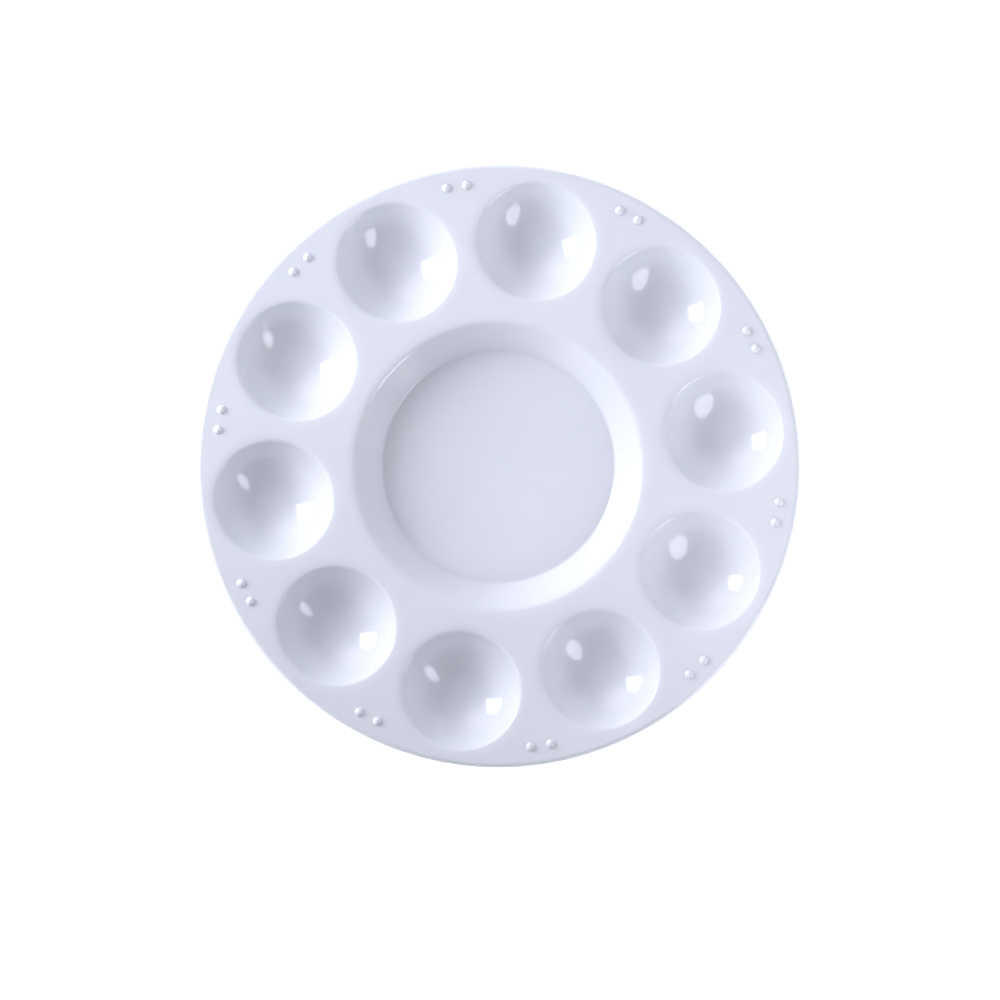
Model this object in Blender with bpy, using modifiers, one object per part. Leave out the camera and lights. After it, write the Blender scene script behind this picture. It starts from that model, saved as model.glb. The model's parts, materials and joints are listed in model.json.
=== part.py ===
"""Round ten-well mixing palette, a single moulding in white plastic.

A flat round deck carries ten bowl-shaped wells around one flat-floored centre dish.
Pairs of small domed pips stand near the rim, one pair between every two wells.
The origin is at the middle of the underside, where the palette rests, with +Z up.
"""

import math

import bpy

MM = 0.001

# The whole moulding
OUTER_RADIUS = 86.0 * MM
WALL = 1.2 * MM
DEPTH = 10.4 * MM
DECK_TOP = WALL + DEPTH

# Rim: the deck's edge is rounded over and turned down into a short skirt
RIM_ROUNDING = 1.4 * MM
SKIRT_HEIGHT = 3.2 * MM
SKIRT_END_ROUNDING = 0.5 * MM
SKIRT_ROOT_FILLET = 0.5 * MM

# Centre dish, to the circles where its floor and its lip begin
DISH_FLOOR_RADIUS = 32.6 * MM
DISH_LIP_RADIUS = 43.8 * MM
DISH_FLOOR_FILLET = 0.8 * MM
DISH_LIP_FILLET = 2.8 * MM

# Wells, to the circle where the lip begins
WELL_COUNT = 10
WELL_CIRCLE_RADIUS = 64.8 * MM
WELL_LIP_RADIUS = 19.5 * MM
WELL_LIP_FILLET = 1.5 * MM

# Every lip leaves the flat deck on a broad arc, then rolls over on its own small fillet
LIP_EASING_RADIUS = 12.0 * MM
LIP_EASING_ANGLE = 10.0

# Pips, two between each pair of wells
PIP_CIRCLE_RADIUS = 80.5 * MM
PIP_SPACING = 5.76 * MM
PIP_RADIUS = 1.15 * MM
PIP_HEIGHT = 1.0 * MM
PIP_ROOT = 0.5 * MM

# How finely the round shapes are divided
BODY_STEPS = 80
WELL_STEPS = 24
PIP_STEPS = 8
BOWL_ARC_STEPS = 4
UPPER_LIP_STEPS = 3
LOWER_LIP_STEPS = 2
LIP_EASING_STEPS = 1
SMALL_ARC_STEPS = 2
MERGE_DISTANCE = 0.00001
OVERSHOOT = 0.3 * MM

# White plastic with a faint cool tint
PLASTIC_COLOUR = (0.78, 0.80, 0.86, 1.0)
PLASTIC_ROUGHNESS = 0.15
SHARP_ANGLE = math.radians(35)


def arc(centre, radius, start, end, steps):
    """Points (r, z) on a circle, from one angle in degrees to another."""
    points = []
    for step in range(steps + 1):
        angle = math.radians(start + (end - start) * step / steps)
        points.append((centre[0] + radius * math.cos(angle), centre[1] + radius * math.sin(angle)))
    return points


def carried_on(points):
    """The points and one more, a little further on in line with the last two."""
    (r1, z1), (r2, z2) = points[-2:]
    share = OVERSHOOT / math.hypot(r2 - r1, z2 - z1)
    return points + [(r2 + share * (r2 - r1), z2 + share * (z2 - z1))]


def lip_centres(radius, fillet):
    """The centres of a lip's small fillet and of the broad arc that meets the deck."""
    lean = math.radians(LIP_EASING_ANGLE)
    reach = LIP_EASING_RADIUS - fillet
    broad = (radius, DECK_TOP - LIP_EASING_RADIUS)
    small = (radius - reach * math.sin(lean), broad[1] + reach * math.cos(lean))
    return small, broad


def lip_arcs(radius, fillet, slope, offset, steps):
    """A lip from a wall of this slope to the flat deck, moved down by offset."""
    small, broad = lip_centres(radius, fillet)
    rolled = arc(small, fillet - offset, 90 + slope, 90 + LIP_EASING_ANGLE, steps)
    eased = arc(broad, LIP_EASING_RADIUS - offset, 90 + LIP_EASING_ANGLE, 90, LIP_EASING_STEPS)
    return rolled + eased[1:]


def wall_slope(floor_centre, lip_centre):
    """The angle in degrees of the straight dish wall, which touches both fillets."""
    run = lip_centre[0] - floor_centre[0]
    rise = lip_centre[1] - floor_centre[1]
    reach = (DISH_FLOOR_FILLET + DISH_LIP_FILLET) / math.hypot(run, rise)
    return math.degrees(math.atan2(rise, run) + math.asin(reach))


def dish_profile(offset, lip_steps):
    """The dish's upper side from its axis to the deck, moved down into the wall by offset."""
    floor_centre = (DISH_FLOOR_RADIUS, WALL + DISH_FLOOR_FILLET)
    lip_centre = lip_centres(DISH_LIP_RADIUS, DISH_LIP_FILLET)[0]
    slope = wall_slope(floor_centre, lip_centre)
    floor_arc = arc(floor_centre, DISH_FLOOR_FILLET + offset, -90, slope - 90, SMALL_ARC_STEPS)
    lip = lip_arcs(DISH_LIP_RADIUS, DISH_LIP_FILLET, slope, offset, lip_steps)
    return [(0, WALL - offset)] + floor_arc + lip


def rim_profile():
    """The rim from the deck's flat, over the edge and round the skirt, to the deck's underside."""
    skirt_end = DECK_TOP - SKIRT_HEIGHT
    outer_end = (OUTER_RADIUS - SKIRT_END_ROUNDING, skirt_end + SKIRT_END_ROUNDING)
    inner_end = (OUTER_RADIUS - WALL + SKIRT_END_ROUNDING, skirt_end + SKIRT_END_ROUNDING)
    root = (OUTER_RADIUS - WALL - SKIRT_ROOT_FILLET, DECK_TOP - WALL - SKIRT_ROOT_FILLET)
    edge = (OUTER_RADIUS - RIM_ROUNDING, DECK_TOP - RIM_ROUNDING)
    points = arc(edge, RIM_ROUNDING, 90, 0, UPPER_LIP_STEPS)
    points += arc(outer_end, SKIRT_END_ROUNDING, 0, -90, SMALL_ARC_STEPS)
    points += arc(inner_end, SKIRT_END_ROUNDING, -90, -180, SMALL_ARC_STEPS)
    points += arc(root, SKIRT_ROOT_FILLET, 0, 90, SMALL_ARC_STEPS)
    return points


def bowl_radius(lip_centre):
    """The radius of the ball that a well is part of, which touches its lip's small fillet."""
    rise = lip_centre[1] - WALL
    span = lip_centre[0] ** 2 + rise**2 - WELL_LIP_FILLET**2
    return span / (2 * (rise + WELL_LIP_FILLET))


def bowl_profile(offset, lip_steps):
    """A well's upper side from its axis to just past the deck's face, moved down by offset."""
    lip_centre = lip_centres(WELL_LIP_RADIUS, WELL_LIP_FILLET)[0]
    radius = bowl_radius(lip_centre)
    slope = math.degrees(math.asin(lip_centre[0] / (radius + WELL_LIP_FILLET)))
    bowl = arc((0, WALL + radius), radius + offset, -90, slope - 90, BOWL_ARC_STEPS)
    lip = lip_arcs(WELL_LIP_RADIUS, WELL_LIP_FILLET, slope, offset, lip_steps)
    return bowl[:-1] + carried_on(lip)


def closed_above(points, top):
    """A solid's profile, top to bottom, under a flat top at the height given."""
    return [(0, top), (points[-1][0], top)] + points[::-1]


def turned(name, profile, steps, collection):
    """A solid of revolution about Z, from a profile of (r, z) points."""
    mesh = bpy.data.meshes.new(name)
    edges = [(index, index + 1) for index in range(len(profile) - 1)]
    mesh.from_pydata([(r, 0, z) for r, z in profile], edges, [])
    turned_object = bpy.data.objects.new(name, mesh)
    collection.objects.link(turned_object)
    screw = turned_object.modifiers.new("turn", "SCREW")
    screw.steps = steps
    screw.render_steps = steps
    screw.use_merge_vertices = True
    screw.merge_threshold = MERGE_DISTANCE
    screw.use_smooth_shade = True
    return turned_object


def ring_of(name, source, places, collection):
    """Copies of a tool object that share its mesh, one for each (radius, angle) given."""
    for number, (radius, angle) in enumerate(places, start=1):
        copy = source.copy()
        copy.name = f"{name}_{number:02d}"
        copy.location = (radius * math.cos(angle), radius * math.sin(angle), 0)
        copy.rotation_euler.z = angle
        collection.objects.link(copy)
    bpy.data.objects.remove(source)


def well_places():
    return [(WELL_CIRCLE_RADIUS, math.tau * well / WELL_COUNT) for well in range(WELL_COUNT)]


def pip_places():
    """Two pips on either side of each line midway between two wells."""
    half_spacing = math.asin(PIP_SPACING / 2 / PIP_CIRCLE_RADIUS)
    places = []
    for well in range(WELL_COUNT):
        between = math.tau * (well + 0.5) / WELL_COUNT
        places.append((PIP_CIRCLE_RADIUS, between - half_spacing))
        places.append((PIP_CIRCLE_RADIUS, between + half_spacing))
    return places


def pip_profile():
    """A domed pip whose straight root sits inside the deck."""
    half_angle = 2 * math.degrees(math.atan(PIP_HEIGHT / PIP_RADIUS))
    ball_radius = PIP_RADIUS / math.sin(math.radians(half_angle))
    centre = (0, DECK_TOP + PIP_HEIGHT - ball_radius)
    dome = arc(centre, ball_radius, 90, 90 - half_angle, SMALL_ARC_STEPS)
    return dome + [(PIP_RADIUS, DECK_TOP - PIP_ROOT), (0, DECK_TOP - PIP_ROOT)]


def tool_collection(name, parent):
    """A collection for shapes that are only joined to the moulding or cut from it."""
    collection = bpy.data.collections.new(name)
    parent.children.link(collection)
    return collection


def combine(target, operation, tools):
    """A Boolean of the target with every shape in a collection, which is hidden from then on."""
    boolean = target.modifiers.new(tools.name, "BOOLEAN")
    boolean.operation = operation
    boolean.operand_type = "COLLECTION"
    boolean.collection = tools
    boolean.solver = "EXACT"
    for tool in tools.objects:
        tool.hide_render = True
        tool.display_type = "WIRE"


def plastic():
    material = bpy.data.materials.new("white_plastic")
    material.use_nodes = True
    shader = material.node_tree.nodes["Principled BSDF"]
    shader.inputs["Base Color"].default_value = PLASTIC_COLOUR
    shader.inputs["Roughness"].default_value = PLASTIC_ROUGHNESS
    shader.inputs["Metallic"].default_value = 0.0
    material.diffuse_color = PLASTIC_COLOUR
    return material


def clear_scene():
    for existing in list(bpy.data.objects):
        bpy.data.objects.remove(existing, do_unlink=True)


def build_palette():
    parts = bpy.data.collections.new("mixing_palette")
    tools = bpy.data.collections.new("shaping_tools")
    bpy.context.scene.collection.children.link(parts)
    bpy.context.scene.collection.children.link(tools)

    upper_dish = dish_profile(0, UPPER_LIP_STEPS)
    lower_dish = dish_profile(WALL, LOWER_LIP_STEPS)
    profile = upper_dish + rim_profile() + lower_dish[::-1]
    tray = turned("palette_tray", profile, BODY_STEPS, parts)
    tray.data.materials.append(plastic())

    cups = tool_collection("well_cups", tools)
    cup_profile = closed_above(bowl_profile(WALL, LOWER_LIP_STEPS), DECK_TOP - WALL / 2)
    ring_of("well_cup", turned("cup", cup_profile, WELL_STEPS, tools), well_places(), cups)
    combine(tray, "UNION", cups)

    hollows = tool_collection("well_hollows", tools)
    hollow_profile = closed_above(bowl_profile(0, UPPER_LIP_STEPS), DECK_TOP + WALL)
    ring_of("well_hollow", turned("hollow", hollow_profile, WELL_STEPS, tools), well_places(), hollows)
    combine(tray, "DIFFERENCE", hollows)

    pips = tool_collection("rim_pips", tools)
    ring_of("pip", turned("dome", pip_profile(), PIP_STEPS, tools), pip_places(), pips)
    combine(tray, "UNION", pips)

    tray.data.set_sharp_from_angle(angle=SHARP_ANGLE)
    return tray


clear_scene()
build_palette()
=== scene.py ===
"""The looks of a round ten-well mixing palette in glossy white plastic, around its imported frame.

One smooth skin stands for the faceted tray: turned patches for the dish, the wells, the pips and
the rim, joined by flat fills for the two faces of the deck. Lengths are in metres, +Z is up.
"""

import json
import math
from typing import NamedTuple

import bmesh
import bpy
from mathutils import Matrix, Vector


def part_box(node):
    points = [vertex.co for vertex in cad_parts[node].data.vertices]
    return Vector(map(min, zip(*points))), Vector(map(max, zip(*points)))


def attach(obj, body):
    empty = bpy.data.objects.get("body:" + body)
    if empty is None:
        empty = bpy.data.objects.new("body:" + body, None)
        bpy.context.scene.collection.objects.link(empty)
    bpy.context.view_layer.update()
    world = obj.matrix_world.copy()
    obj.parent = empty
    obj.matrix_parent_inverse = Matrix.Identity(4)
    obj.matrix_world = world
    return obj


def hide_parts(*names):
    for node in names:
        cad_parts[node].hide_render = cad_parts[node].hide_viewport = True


MM = 0.001

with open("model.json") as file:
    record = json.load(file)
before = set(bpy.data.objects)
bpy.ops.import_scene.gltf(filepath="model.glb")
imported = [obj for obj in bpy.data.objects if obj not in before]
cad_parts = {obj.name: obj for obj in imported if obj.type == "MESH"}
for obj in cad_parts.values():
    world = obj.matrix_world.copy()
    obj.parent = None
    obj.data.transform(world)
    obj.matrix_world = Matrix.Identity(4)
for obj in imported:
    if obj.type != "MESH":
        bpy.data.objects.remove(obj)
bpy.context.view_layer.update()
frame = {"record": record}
TRAY_LOW, TRAY_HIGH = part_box("palette_tray")


def opening_centre(name):
    """The middle of one of the record's openings."""
    openings = frame["record"]["physics"]["openings"]
    low, high = next(opening["box_m"] for opening in openings if opening["name"] == name)
    return (Vector(low) + Vector(high)) / 2


# Sizes of the moulding. The outline, height and well places come from the frame.
OUTER_RADIUS = TRAY_HIGH.x
WALL = 1.2 * MM
PIP_HEIGHT = 1.0 * MM
DECK_TOP = TRAY_HIGH.z - PIP_HEIGHT
DECK_UNDERSIDE = DECK_TOP - WALL
RIM_ROUNDING = 1.4 * MM
SKIRT_HEIGHT = 3.2 * MM
SKIRT_END_ROUNDING = 0.5 * MM
SKIRT_ROOT_FILLET = 0.5 * MM
DISH_FLOOR_RADIUS = 32.75 * MM
DISH_LIP_RADIUS = 43.8 * MM
DISH_FLOOR_FILLET = 1.3 * MM
DISH_LIP_FILLET = 2.8 * MM
WELL_COUNT = 10
WELL_CIRCLE_RADIUS = opening_centre("well_01_bowl").x
WELL_LIP_RADIUS = 19.5 * MM
WELL_LIP_FILLET = 1.5 * MM
LIP_EASING_RADIUS = 12.0 * MM
LIP_EASING_ANGLE = 10.0
PIP_CIRCLE_RADIUS = 80.5 * MM
PIP_SPACING = 5.76 * MM
PIP_RADIUS = 1.3 * MM
PIP_ROOT_FILLET = 0.15 * MM

# The mark that the mould's gate leaves under the dish, sunk so that it stays clear of the table
GATE_RECESS_RADIUS = 4.5 * MM
GATE_RECESS_DEPTH = 0.2 * MM
GATE_NUB_RADIUS = 1.1 * MM
GATE_NUB_HEIGHT = 0.14 * MM
GATE_ROUNDING = 0.03 * MM
GATE_EDGE_ANGLE = 30.0

# A narrow flat ring of faces outside each fillet keeps the deck's shading level
COLLAR = 0.1 * MM
PIP_COLLAR = 0.08 * MM

# A profile point nearer the axis than this is one point on it
ON_AXIS = 0.001 * MM

# How finely the round shapes are divided: round their axes, and along their profiles
RIM_STEPS = 300
DISH_STEPS = 200
WELL_STEPS = 90
PIP_STEPS = 32
BOWL_RINGS = 20
FILLET_RINGS = 10
EASING_RINGS = 5
SMALL_FILLET_RINGS = 6
GATE_EDGE_RINGS = 4
GATE_RINGS = 3

# The view: straight down, turned so that the wells lie as they do in the picture. The sensor is in
# millimetres, as Blender gives it.
FRAME_WIDTH = 284.8 * MM
CAMERA_HEIGHT = 1.5
CAMERA_SENSOR = 36.0
CAMERA_REACH = 20.0
PICTURE_TURN = math.radians(8.56)
CENTRE_ABOVE_MIDDLE = 9.68 * MM
CENTRE_LEFT_OF_MIDDLE = 0.40 * MM

# How much polystyrene bends light, and how far light spreads inside the white plastic
PLASTIC_IOR = 1.59
LIGHT_REACH = 0.5 * MM

# The plastic's colour drifts between two tones, and is duller where it is rubbed
DARK_TONE = (0.785, 0.806, 0.858, 1)
LIGHT_TONE = (0.815, 0.834, 0.880, 1)
WORN_TONE = (0.74, 0.76, 0.80, 1)
STREAKS_IN_TONE = 0.3
WORN_SHARE = 0.5

# Roughness: of the clean and of the scuffed surface, and what streaks and rubbing add to it
CLEAN_TO_SCUFFED = (0.04, 0.09)
STREAK_ROUGHNESS = 0.008
RUBBED_ROUGHNESS = 0.18

# Relief: its depth and strength, and how much the grain and the rubbing count against the waves
RELIEF_DEPTH = 0.02 * MM
RELIEF_STRENGTH = 0.15
GRAIN_SHARE = 0.01
RUBBED_SHARE = 0.05

# How fine each pattern is, as its number of patches to the metre
CLOUDING_SCALE = 22.0
SMEAR_SCALE = 35.0
WAVE_SCALE = 60.0
SCUFF_SCALE = 900.0
GRAIN_SCALE = 2500.0

# Streaks: how many there are to the radian, and how much more they change to the metre outwards
STREAK_SCALE = 9.0
STREAK_DRIFT = 5.0

# Where each pattern begins and is at its fullest, as values of the noise that makes it
TONE_SPAN = (0.45, 0.85)
SCUFF_SPAN = (0.12, 0.42)
STREAK_SPAN = (0.4, 0.7)
RUBBED_SPAN = (0.35, 0.65)

# Where rubbing begins and is at its fullest: distances from the axis on the rim, and heights on
# the pips and over the table
RIM_RUBBED = (OUTER_RADIUS - RIM_ROUNDING, OUTER_RADIUS - 0.3 * MM)
PIPS_RUBBED = (DECK_TOP + 0.6 * PIP_HEIGHT, DECK_TOP + PIP_HEIGHT)
REST_RUBBED = (TRAY_LOW.z + 0.3 * MM, TRAY_LOW.z + 0.05 * MM)

FLOOR_HALF_WIDTH = 4.0
FLOOR_GAP = 0.05 * MM
FLOOR_COLOUR = (0.9, 0.9, 0.9, 1)
FLOOR_ROUGHNESS = 0.9
FLOOR_GLOW = 0.7

# The colour of all the light but the floor's
STUDIO_TINT = (0.920, 0.926, 1.0)


class Softbox(NamedTuple):
    """A lamp, placed and faced as it would be seen in the picture."""

    name: str
    shape: str
    place: tuple  # to the right, up, and height above the table
    size: tuple  # width and height
    watts: float
    facing: tuple = None  # azimuth and elevation in degrees; None for the middle of the palette
    roll: float = 0.0  # degrees
    feathered: bool = False  # fading from its middle to its edges


SOFTBOXES = (
    Softbox("key", "RECTANGLE", (-0.458, 0.162, 0.233), (0.276, 0.281), 2.28, (19.9, -16.5), 6.0),
    Softbox("low", "ELLIPSE", (0.319, -0.213, 0.240), (0.212, 0.517), 1.24, (72.5, -8.0), -45.6),
    Softbox("top", "RECTANGLE", (0.0, 0.0, 0.5), (0.8, 0.8), 1.11, feathered=True),
    Softbox("back_left", "RECTANGLE", (-0.225, 0.225, 0.318), (0.62, 0.50), 0.62, feathered=True),
    Softbox("back_right", "RECTANGLE", (0.303, 0.303, 0.139), (0.62, 0.50), 1.18, feathered=True),
)

# Broad glows from the room: azimuth anticlockwise from the picture's right, elevation, strength
WORLD_GLOWS = ((0, 8, 1.17), (225, 8, 1.19), (120, 28, 2.19), (180, 28, 1.11), (330, 28, 0.46))
GLOW_SHARPNESS = 8.0


def arc(centre, radius, start, end, steps):
    """Points (r, z) on a circle, from one angle in degrees to another."""
    points = []
    for step in range(steps + 1):
        angle = math.radians(start + (end - start) * step / steps)
        points.append((centre[0] + radius * math.cos(angle), centre[1] + radius * math.sin(angle)))
    return points


def wall_slope(floor_centre, lip_centre):
    """The angle in degrees of the straight dish wall, which touches both fillets."""
    run = lip_centre[0] - floor_centre[0]
    rise = lip_centre[1] - floor_centre[1]
    reach = (DISH_FLOOR_FILLET + DISH_LIP_FILLET) / math.hypot(run, rise)
    return math.degrees(math.atan2(rise, run) + math.asin(reach))


def lip_centres(radius, fillet):
    """The centres of a lip's small fillet and of the broad arc that meets the deck."""
    lean = math.radians(LIP_EASING_ANGLE)
    reach = LIP_EASING_RADIUS - fillet
    broad = (radius, DECK_TOP - LIP_EASING_RADIUS)
    small = (radius - reach * math.sin(lean), broad[1] + reach * math.cos(lean))
    return small, broad


def lip_arcs(radius, fillet, slope, offset):
    """A lip from a wall of this slope to the flat deck, moved into the plastic by offset."""
    small, broad = lip_centres(radius, fillet)
    rolled = arc(small, fillet - offset, 90 + slope, 90 + LIP_EASING_ANGLE, FILLET_RINGS)
    eased = arc(broad, LIP_EASING_RADIUS - offset, 90 + LIP_EASING_ANGLE, 90, EASING_RINGS)
    return rolled + eased[1:] + [(radius + COLLAR, DECK_TOP - offset)]


def dish_wall(offset):
    """The dish from the edge of its floor to the deck, moved into the plastic by offset."""
    floor_centre = (DISH_FLOOR_RADIUS, WALL + DISH_FLOOR_FILLET)
    slope = wall_slope(floor_centre, lip_centres(DISH_LIP_RADIUS, DISH_LIP_FILLET)[0])
    foot = arc(floor_centre, DISH_FLOOR_FILLET + offset, -90, slope - 90, SMALL_FILLET_RINGS)
    return foot + lip_arcs(DISH_LIP_RADIUS, DISH_LIP_FILLET, slope, offset)


def gate_mark():
    """The recess under the dish floor and the cut-off nub in it, from the axis outwards."""
    nub = GATE_RECESS_DEPTH - GATE_NUB_HEIGHT
    nub_edge = (GATE_NUB_RADIUS - GATE_ROUNDING, nub + GATE_ROUNDING)
    nub_root = (GATE_NUB_RADIUS + GATE_ROUNDING, GATE_RECESS_DEPTH - GATE_ROUNDING)
    recess_edge = (GATE_RECESS_RADIUS - GATE_RECESS_DEPTH, 0)
    points = [(0, nub), (GATE_NUB_RADIUS - 2 * GATE_ROUNDING, nub)]
    points += arc(nub_edge, GATE_ROUNDING, -90, 0, GATE_RINGS)
    points += arc(nub_root, GATE_ROUNDING, 180, 90, GATE_RINGS)
    points += arc(recess_edge, GATE_RECESS_DEPTH, 90, GATE_EDGE_ANGLE, GATE_EDGE_RINGS)
    points.append((GATE_RECESS_RADIUS + GATE_ROUNDING, 0))
    return points


def rim_profile():
    """The rim from the deck's top, over the edge and round the skirt, to the deck's underside."""
    skirt_end = DECK_TOP - SKIRT_HEIGHT
    inner_wall = OUTER_RADIUS - WALL
    edge = (OUTER_RADIUS - RIM_ROUNDING, DECK_TOP - RIM_ROUNDING)
    outer_end = (OUTER_RADIUS - SKIRT_END_ROUNDING, skirt_end + SKIRT_END_ROUNDING)
    inner_end = (inner_wall + SKIRT_END_ROUNDING, skirt_end + SKIRT_END_ROUNDING)
    root = (inner_wall - SKIRT_ROOT_FILLET, DECK_UNDERSIDE - SKIRT_ROOT_FILLET)
    points = [(edge[0] - COLLAR, DECK_TOP)]
    points += arc(edge, RIM_ROUNDING, 90, 0, FILLET_RINGS)
    points += arc(outer_end, SKIRT_END_ROUNDING, 0, -90, SMALL_FILLET_RINGS)
    points += arc(inner_end, SKIRT_END_ROUNDING, -90, -180, SMALL_FILLET_RINGS)
    points += arc(root, SKIRT_ROOT_FILLET, 0, 90, SMALL_FILLET_RINGS)
    points.append((root[0] - COLLAR, DECK_UNDERSIDE))
    return points


def well_profile(offset):
    """A well from its axis to the deck, moved into the plastic by offset."""
    lip_centre = lip_centres(WELL_LIP_RADIUS, WELL_LIP_FILLET)[0]
    rise = lip_centre[1] - WALL
    span = lip_centre[0] ** 2 + rise**2 - WELL_LIP_FILLET**2
    radius = span / (2 * (rise + WELL_LIP_FILLET))
    slope = math.degrees(math.asin(lip_centre[0] / (radius + WELL_LIP_FILLET)))
    bowl = arc((0, WALL + radius), radius + offset, -90, slope - 90, BOWL_RINGS)
    return bowl[:-1] + lip_arcs(WELL_LIP_RADIUS, WELL_LIP_FILLET, slope, offset)


def pip_profile():
    """A domed pip from its top to the deck, with a small fillet round its root."""
    half_angle = 2 * math.degrees(math.atan(PIP_HEIGHT / PIP_RADIUS))
    ball_radius = PIP_RADIUS / math.sin(math.radians(half_angle))
    centre_height = DECK_TOP + PIP_HEIGHT - ball_radius
    rise = DECK_TOP + PIP_ROOT_FILLET - centre_height
    reach = ball_radius + PIP_ROOT_FILLET
    root = (math.sqrt(reach**2 - rise**2), DECK_TOP + PIP_ROOT_FILLET)
    meeting = math.degrees(math.atan2(rise, root[0]))
    dome = arc((0, centre_height), ball_radius, 90, meeting, SMALL_FILLET_RINGS)
    fillet = arc(root, PIP_ROOT_FILLET, 180 + meeting, 270, SMALL_FILLET_RINGS)
    return dome[:-1] + fillet + [(root[0] + PIP_COLLAR, DECK_TOP)]


def turn(mesh, profile, steps, place):
    """Sweep faces round Z through a profile of (r, z) points, and put them in place.

    Returns the edges round the profile's first point and round its last.
    """
    rings = []
    for radius, height in profile:
        if radius < ON_AXIS:
            rings.append([mesh.verts.new(place @ Vector((0, 0, height)))] * steps)
            continue
        ring = []
        for step in range(steps):
            angle = math.tau * step / steps
            point = Vector((radius * math.cos(angle), radius * math.sin(angle), height))
            ring.append(mesh.verts.new(place @ point))
        rings.append(ring)
    for inner, outer in zip(rings, rings[1:]):
        for step in range(steps):
            after = (step + 1) % steps
            corners = [inner[step], outer[step], outer[after], inner[after]]
            mesh.faces.new(list(dict.fromkeys(corners)))
    return ring_edges(mesh, rings[0]), ring_edges(mesh, rings[-1])


def ring_edges(mesh, ring):
    """The edges round a ring of points, or none for a point on the axis."""
    if ring[0] == ring[1]:
        return []
    return [mesh.edges.get(pair) for pair in zip(ring, ring[1:] + ring[:1])]


def out_from_axis(angle, radius):
    """A place this far from the palette's axis, turned with the angle."""
    return Matrix.Rotation(angle, 4, "Z") @ Matrix.Translation((radius, 0, 0))


def well_places():
    """Where the wells stand, evenly round the axis from +X."""
    angles = [math.tau * well / WELL_COUNT for well in range(WELL_COUNT)]
    return [out_from_axis(angle, WELL_CIRCLE_RADIUS) for angle in angles]


def pip_places():
    """Where the pips stand, a pair between each well and the next."""
    half_spacing = math.asin(PIP_SPACING / 2 / PIP_CIRCLE_RADIUS)
    places = []
    for well in range(WELL_COUNT):
        between = math.tau * (well + 0.5) / WELL_COUNT
        for angle in (between - half_spacing, between + half_spacing):
            places.append(out_from_axis(angle, PIP_CIRCLE_RADIUS))
    return places


def add_object(name, mesh, material):
    """Put a finished bmesh into the scene as an object of this material."""
    data = bpy.data.meshes.new(name)
    mesh.to_mesh(data)
    mesh.free()
    data.materials.append(material)
    item = bpy.data.objects.new(name, data)
    bpy.context.scene.collection.objects.link(item)
    return item


def build_palette():
    """The whole moulding as one closed smooth skin."""
    mesh = bmesh.new()
    upright = Matrix.Identity(4)

    # The rim runs from the deck's top to its underside; the other patches end at the deck
    upper, lower = turn(mesh, rim_profile(), RIM_STEPS, upright)
    upper += turn(mesh, [(0, WALL)] + dish_wall(0), DISH_STEPS, upright)[1]
    lower += turn(mesh, gate_mark() + dish_wall(WALL), DISH_STEPS, upright)[1]
    for place in well_places():
        upper += turn(mesh, well_profile(0), WELL_STEPS, place)[1]
        lower += turn(mesh, well_profile(WALL), WELL_STEPS, place)[1]
    for place in pip_places():
        upper += turn(mesh, pip_profile(), PIP_STEPS, place)[1]
    for edges in (upper, lower):
        bmesh.ops.triangle_fill(mesh, use_beauty=True, edges=edges, normal=(0, 0, 1))
    bmesh.ops.recalc_face_normals(mesh, faces=mesh.faces)

    palette = add_object("palette_moulding", mesh, white_plastic())
    palette.data.shade_smooth()
    return palette


class Nodes:
    """A node tree, with short calls to add nodes and join them."""

    def __init__(self, tree):
        self.tree = tree

    def add(self, kind, **settings):
        node = self.tree.nodes.new(kind)
        for key, value in settings.items():
            setattr(node, key, value)
        return node

    def feed(self, node, sources):
        """Give each input named a socket to follow, or a plain value."""
        for key, source in sources.items():
            if isinstance(source, bpy.types.NodeSocket):
                self.tree.links.new(source, node.inputs[key])
            else:
                node.inputs[key].default_value = source

    def noise(self, vector, scale, detail=2.0, roughness=0.5):
        node = self.add("ShaderNodeTexNoise")
        self.feed(node, {"Vector": vector, "Scale": scale})
        self.feed(node, {"Detail": detail, "Roughness": roughness})
        return node.outputs["Fac"]

    def maths(self, operation, first, second=0.0):
        node = self.add("ShaderNodeMath", operation=operation)
        self.feed(node, {0: first, 1: second})
        return node.outputs[0]

    def vector(self, operation, first, second=(0, 0, 0), output="Vector"):
        node = self.add("ShaderNodeVectorMath", operation=operation)
        self.feed(node, {0: first, 1: second})
        return node.outputs[output]

    def ranged(self, value, low, high, to_low=0.0, to_high=1.0, curve="LINEAR"):
        """The value carried from one range to another and kept inside it. A range may run down."""
        node = self.add("ShaderNodeMapRange", clamp=True, interpolation_type=curve)
        self.feed(node, {"Value": value, "From Min": low, "From Max": high})
        self.feed(node, {"To Min": to_low, "To Max": to_high})
        return node.outputs[0]

    def mix(self, factor, first, second):
        """A mix of two colours. The node's colour sockets follow those of its other kinds."""
        node = self.add("ShaderNodeMix", data_type="RGBA")
        self.feed(node, {0: factor, 6: first, 7: second})
        return node.outputs[2]


def new_material(name):
    """A material with its nodes and its shader."""
    material = bpy.data.materials.new(name)
    material.use_nodes = True
    return material, Nodes(material.node_tree), material.node_tree.nodes["Principled BSDF"]


def in_plan(nodes, position):
    """The position with its height taken away."""
    return nodes.vector("MULTIPLY", position, (1, 1, 0))


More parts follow.
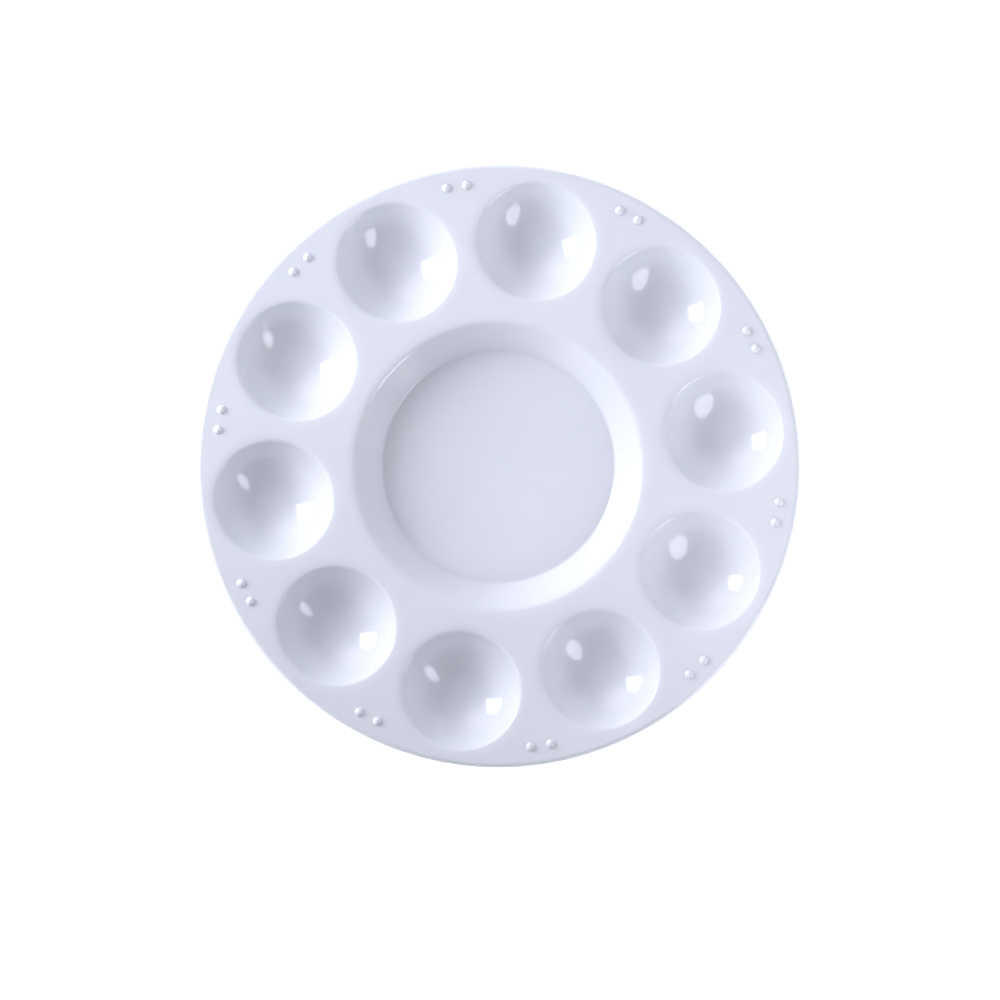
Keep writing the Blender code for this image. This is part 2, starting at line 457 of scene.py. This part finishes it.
def handling(nodes, position, spots):
    """Where the palette gets rubbed, from 0 to 1: rim edge, pip tops and the resting underside."""
    from_axis = nodes.vector("LENGTH", in_plan(nodes, position), output="Value")
    parts = nodes.add("ShaderNodeSeparateXYZ")
    nodes.feed(parts, {"Vector": position})
    height = parts.outputs["Z"]
    rim = nodes.ranged(from_axis, *RIM_RUBBED)
    pips = nodes.ranged(height, *PIPS_RUBBED)
    rest = nodes.ranged(height, *REST_RUBBED)
    places = nodes.maths("MAXIMUM", nodes.maths("MAXIMUM", rim, pips), rest)
    return nodes.maths("MULTIPLY", places, nodes.ranged(spots, *RUBBED_SPAN))


def flow_marks(nodes, position):
    """Faint streaks that run outwards from the middle, the way the plastic filled the mould."""
    outwards = nodes.vector("NORMALIZE", in_plan(nodes, position))
    along = nodes.vector("MULTIPLY", position, (STREAK_DRIFT,) * 3)
    return nodes.noise(nodes.vector("ADD", outwards, along), STREAK_SCALE, detail=3.0)


def white_plastic():
    """Glossy cool-white polystyrene: faint clouding and flow marks, fine scuffs, rubbed edges."""
    material, nodes, shader = new_material("white_plastic")
    position = nodes.add("ShaderNodeTexCoord").outputs["Object"]
    clouding = nodes.noise(position, CLOUDING_SCALE, detail=3.0)
    streaks = flow_marks(nodes, position)
    scuffs = nodes.noise(position, SCUFF_SCALE, detail=6.0, roughness=0.7)
    smears = nodes.noise(position, SMEAR_SCALE)
    rubbed = handling(nodes, position, scuffs)

    tone = nodes.maths("ADD", nodes.maths("MULTIPLY", streaks, STREAKS_IN_TONE), clouding)
    colour = nodes.mix(nodes.ranged(tone, *TONE_SPAN), DARK_TONE, LIGHT_TONE)
    worn = nodes.mix(nodes.maths("MULTIPLY", rubbed, WORN_SHARE), colour, WORN_TONE)

    scuffed = nodes.maths("MULTIPLY", scuffs, smears)
    finish = nodes.ranged(scuffed, *SCUFF_SPAN, *CLEAN_TO_SCUFFED)
    streaked = nodes.ranged(streaks, *STREAK_SPAN, 0.0, STREAK_ROUGHNESS)
    finish = nodes.maths("ADD", finish, streaked)
    finish = nodes.maths("ADD", finish, nodes.maths("MULTIPLY", rubbed, RUBBED_ROUGHNESS))

    waves = nodes.noise(position, WAVE_SCALE, detail=1.0)
    grain = nodes.noise(position, GRAIN_SCALE)
    relief = nodes.maths("ADD", waves, nodes.maths("MULTIPLY", grain, GRAIN_SHARE))
    relief = nodes.maths("SUBTRACT", relief, nodes.maths("MULTIPLY", rubbed, RUBBED_SHARE))
    bump = nodes.add("ShaderNodeBump")
    nodes.feed(bump, {"Strength": RELIEF_STRENGTH, "Distance": RELIEF_DEPTH, "Height": relief})

    nodes.feed(shader, {"Base Color": worn, "Roughness": finish, "Normal": bump.outputs[0]})
    shader.inputs["IOR"].default_value = PLASTIC_IOR
    shader.inputs["Subsurface Weight"].default_value = 1.0
    shader.inputs["Subsurface Radius"].default_value = (1.0, 1.0, 1.0)
    shader.inputs["Subsurface Scale"].default_value = LIGHT_REACH
    return material


def floor_paint():
    """Pale matt floor, lit evenly like a light table so that it stays near white."""
    material, _, shader = new_material("pale_floor")
    shader.inputs["Base Color"].default_value = FLOOR_COLOUR
    shader.inputs["Roughness"].default_value = FLOOR_ROUGHNESS
    shader.inputs["Specular IOR Level"].default_value = 0.0
    shader.inputs["Emission Color"].default_value = (1, 1, 1, 1)
    shader.inputs["Emission Strength"].default_value = FLOOR_GLOW
    return material


def build_floor():
    """A wide flat floor just under the palette."""
    mesh = bmesh.new()
    bmesh.ops.create_grid(mesh, x_segments=1, y_segments=1, size=FLOOR_HALF_WIDTH)
    floor = add_object("studio_floor", mesh, floor_paint())
    floor.location.z = TRAY_LOW.z - FLOOR_GAP


def in_picture(right, up, height):
    """A place so far to the right of and above the palette's centre, as the picture shows it."""
    return Matrix.Rotation(-PICTURE_TURN, 3, "Z") @ Vector((right, up, height))


def towards(azimuth, elevation):
    """A direction: degrees anticlockwise from the picture's right, and degrees above the floor."""
    turn_by, climb = math.radians(azimuth), math.radians(elevation)
    level = math.cos(climb)
    return in_picture(level * math.cos(turn_by), level * math.sin(turn_by), math.sin(climb))


def aim(item, target, roll):
    """Face a lamp towards a point, rolled about that line by an angle in radians."""
    direction = Vector(target) - item.location
    turn_to = direction.to_track_quat("-Z", "Y")
    item.rotation_euler = (turn_to.to_matrix() @ Matrix.Rotation(roll, 3, "Z")).to_euler()


def feather(light):
    """Fade a softbox from its middle to nothing at its edges, so that its mirror image is soft."""
    half = 0.5  # the lamp's UV runs from 0 to 1 each way
    light.use_nodes = True
    nodes = Nodes(light.node_tree)
    place = nodes.add("ShaderNodeTexCoord").outputs["UV"]
    from_middle = nodes.vector("SUBTRACT", place, (half, half, 0))
    off_centre = nodes.vector("LENGTH", from_middle, output="Value")
    fade = nodes.ranged(off_centre, 0.0, half, 1.0, 0.0, "SMOOTHSTEP")
    nodes.feed(light.node_tree.nodes["Emission"], {"Strength": fade})


def build_softbox(box):
    """One lamp, which the camera itself doesn't see."""
    light = bpy.data.lights.new(box.name + "_softbox", "AREA")
    light.shape = box.shape
    light.size, light.size_y = box.size
    light.energy = box.watts
    light.color = STUDIO_TINT
    if box.feathered:
        feather(light)
    item = bpy.data.objects.new(box.name + "_softbox", light)
    item.location = in_picture(*box.place)
    target = item.location + towards(*box.facing) if box.facing else (0, 0, DECK_TOP)
    aim(item, target, math.radians(box.roll))
    item.visible_camera = False
    bpy.context.scene.collection.objects.link(item)


def build_world():
    """Broad glows round the palette, as from pale walls, which fade into one another."""
    world = bpy.data.worlds.new("studio")
    world.use_nodes = True
    nodes = Nodes(world.node_tree)
    seen = nodes.add("ShaderNodeTexCoord").outputs["Generated"]
    total = 0.0
    for azimuth, elevation, strength in WORLD_GLOWS:
        facing = nodes.vector("DOT_PRODUCT", seen, towards(azimuth, elevation), "Value")
        glow = nodes.maths("POWER", nodes.maths("MAXIMUM", facing, 0.0), GLOW_SHARPNESS)
        total = nodes.maths("ADD", total, nodes.maths("MULTIPLY", glow, strength))
    background = world.node_tree.nodes["Background"]
    nodes.feed(background, {"Color": (*STUDIO_TINT, 1), "Strength": total})
    bpy.context.scene.world = world


def build_camera():
    """The picture's camera, which looks straight down from high above."""
    camera = bpy.data.cameras.new("overhead_camera")
    camera.sensor_width = CAMERA_SENSOR
    camera.lens = CAMERA_SENSOR * CAMERA_HEIGHT / FRAME_WIDTH
    camera.clip_end = CAMERA_REACH
    item = bpy.data.objects.new("overhead_camera", camera)
    height = DECK_TOP + CAMERA_HEIGHT
    item.location = in_picture(CENTRE_LEFT_OF_MIDDLE, -CENTRE_ABOVE_MIDDLE, height)
    item.rotation_euler = (0, 0, -PICTURE_TURN)
    bpy.context.scene.collection.objects.link(item)
    bpy.context.scene.camera = item


palette_skin = build_palette()
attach(palette_skin, "root")
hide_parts("palette_tray")

build_floor()
build_world()
for softbox in SOFTBOXES:
    build_softbox(softbox)
build_camera()
bpy.context.scene.view_settings.view_transform = "Standard"
